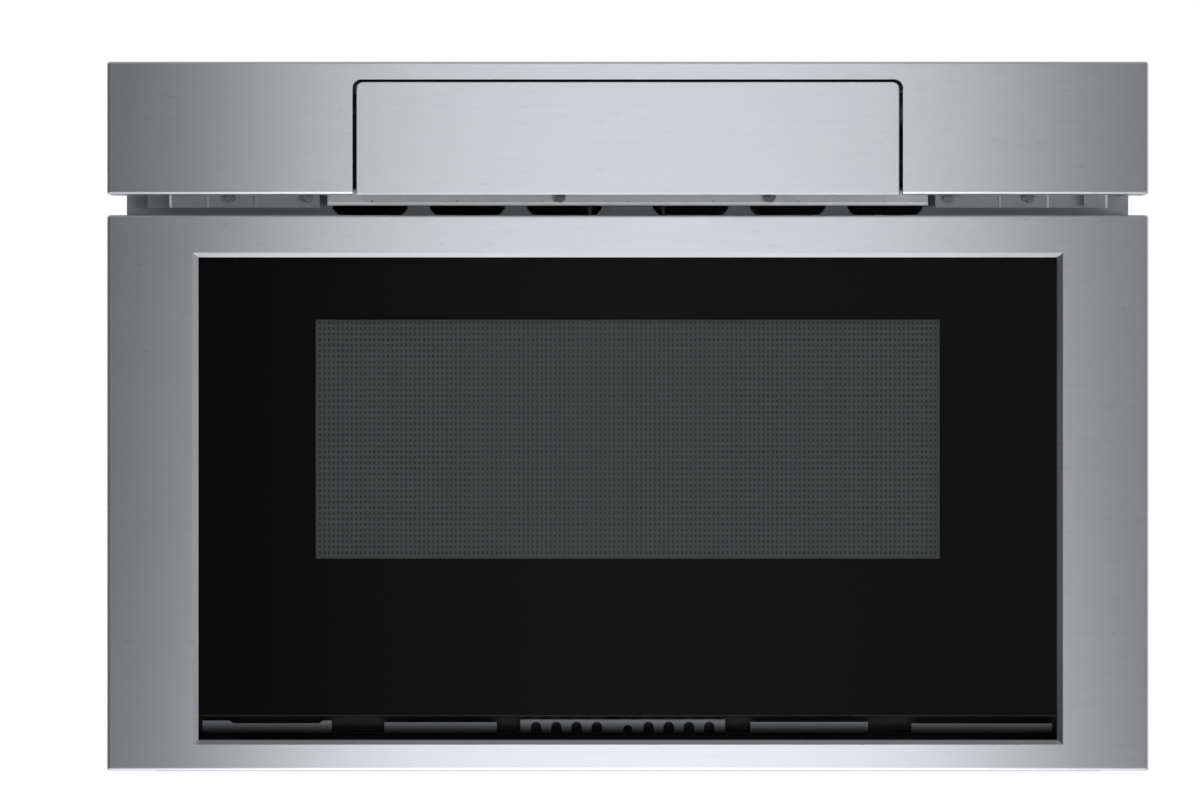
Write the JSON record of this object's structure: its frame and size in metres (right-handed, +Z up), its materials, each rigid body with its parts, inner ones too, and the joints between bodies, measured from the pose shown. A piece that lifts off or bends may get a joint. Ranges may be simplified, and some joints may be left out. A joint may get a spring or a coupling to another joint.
{
  "type": "microwave drawer",
  "caption": "Built-in drawer microwave with a stainless front, dark glass window, hidden tilt-out control panel and a motor-driven rack and pinion drawer",
  "frame": {"origin": "middle of the base, level with the underside of the base pan", "axes": "+Z up, +X to the right as seen from the front, the front faces -Y"},
  "size_m": [0.6064, 0.594, 0.4148],
  "materials": {
    "stainless": "horizontally brushed stainless steel sheet",
    "door_glass": "black back-printed tempered glass",
    "touch_glass": "black touch glass",
    "clear_film": "clear inner window pane",
    "screen": "perforated sheet, dark grey coat",
    "galvanised": "zinc-coated sheet steel",
    "enamel": "light grey coated oven steel",
    "black_coat": "black coated sheet steel",
    "black_plastic": "black moulded plastic",
    "grey_plastic": "grey moulded plastic",
    "white_plastic": "white acetal",
    "board": "printed circuit board",
    "ceramic": "white glass-ceramic",
    "mica": "mica sheet",
    "steel": "plain bright steel",
    "iron": "varnished core plates and windings",
    "alloy": "mill-finish aluminium",
    "rubber": "black rubber"
  },
  "bodies": {
    "chassis": {"header_fascia": "stainless", "header_brackets": "galvanised", "air_deflector": "galvanised", "header_screws": "steel", "hinge_brackets": "galvanised", "tilt_motor": "black_plastic", "front_frame": "galvanised", "outer_case": "galvanised", "base_pan": "galvanised", "rear_panel": "galvanised", "cord_inlet_grommet": "rubber", "case_screws": "steel", "oven_cavity": "enamel", "mica_cover": "mica", "waveguide": "galvanised", "stirrer_motor": "steel", "magnetron": "alloy", "fan_housing": "black_plastic", "fan_motor": "iron", "air_duct": "black_plastic", "hv_transformer": "iron", "hv_capacitor": "alloy", "power_board": "board", "board_tray": "black_plastic", "noise_filter": "board", "oven_lamp": "grey_plastic", "thermal_cutout": "black_plastic", "interlock_switches": "grey_plastic", "gear_motor": "steel", "drive_brackets": "galvanised", "shaft_bushes": "white_plastic", "slide_outer": "steel"},
    "drawer": {"door_frame": "stainless", "door_glass": "door_glass", "window_screen": "screen", "inner_window": "clear_film", "door_inner_panel": "black_coat", "choke_cover": "black_plastic", "vent_bracket": "galvanised", "latch_hooks": "black_plastic", "drawer_bin": "enamel", "ceramic_tray": "ceramic", "bin_glides": "white_plastic", "carriage_arms": "galvanised", "racks": "white_plastic", "slide_inner": "steel"},
    "slide_middle": {"slide_middle": "steel"},
    "drive_shaft": {"cross_shaft": "steel", "rack_pinions": "white_plastic", "shaft_gear": "white_plastic"},
    "motor_pinion": {"motor_pinion": "steel"},
    "control_panel": {"control_flap": "stainless", "panel_housing": "black_plastic", "touch_glass": "touch_glass", "display_board": "board", "hinge_pins": "steel", "sector_gear": "white_plastic"},
    "tilt_pinion": {"tilt_pinion": "steel"},
    "fan_wheel": {"fan_wheel": "grey_plastic"},
    "stirrer": {"stirrer": "alloy"}
  },
  "joints": [
    {"name": "drawer_slide", "type": "slide", "parent": "chassis", "child": "drawer", "axis": [0, -1, 0], "range_m": [0, 0.381]},
    {"name": "middle_slide", "type": "slide", "parent": "chassis", "child": "slide_middle", "axis": [0, -1, 0], "range_m": [0, 0.1905]},
    {"name": "shaft_turn", "type": "hinge", "parent": "chassis", "child": "drive_shaft", "pos_m": [0, -0.225, 0.062], "axis": [1, 0, 0], "range_deg": [0, 1365]},
    {"name": "motor_turn", "type": "hinge", "parent": "chassis", "child": "motor_pinion", "pos_m": [0.02, -0.192, 0.062], "axis": [1, 0, 0], "range_deg": [-3640, 0]},
    {"name": "panel_tilt", "type": "hinge", "parent": "chassis", "child": "control_panel", "pos_m": [0, -0.291, 0.3424], "axis": [1, 0, 0], "range_deg": [0, 67.5]},
    {"name": "tilt_pinion_turn", "type": "hinge", "parent": "chassis", "child": "tilt_pinion", "pos_m": [0.147, -0.27909, 0.38683], "axis": [1, 0, 0], "range_deg": [-450.5, 0]},
    {"name": "fan_turn", "type": "hinge", "parent": "chassis", "child": "fan_wheel", "pos_m": [-0.14, 0.223, 0.24], "axis": [1, 0, 0], "continuous": true},
    {"name": "stirrer_turn", "type": "hinge", "parent": "chassis", "child": "stirrer", "pos_m": [0, -0.047, 0.305], "axis": [0, 0, 1], "continuous": true}
  ],
  "couplings": [
    {"joint": "middle_slide", "follows": "drawer_slide", "ratio": 0.5},
    {"joint": "shaft_turn", "follows": "drawer_slide", "rad_per_m": 62.5},
    {"joint": "motor_turn", "follows": "drawer_slide", "rad_per_m": -166.67},
    {"joint": "tilt_pinion_turn", "follows": "panel_tilt", "ratio": -6.6667}
  ]
}
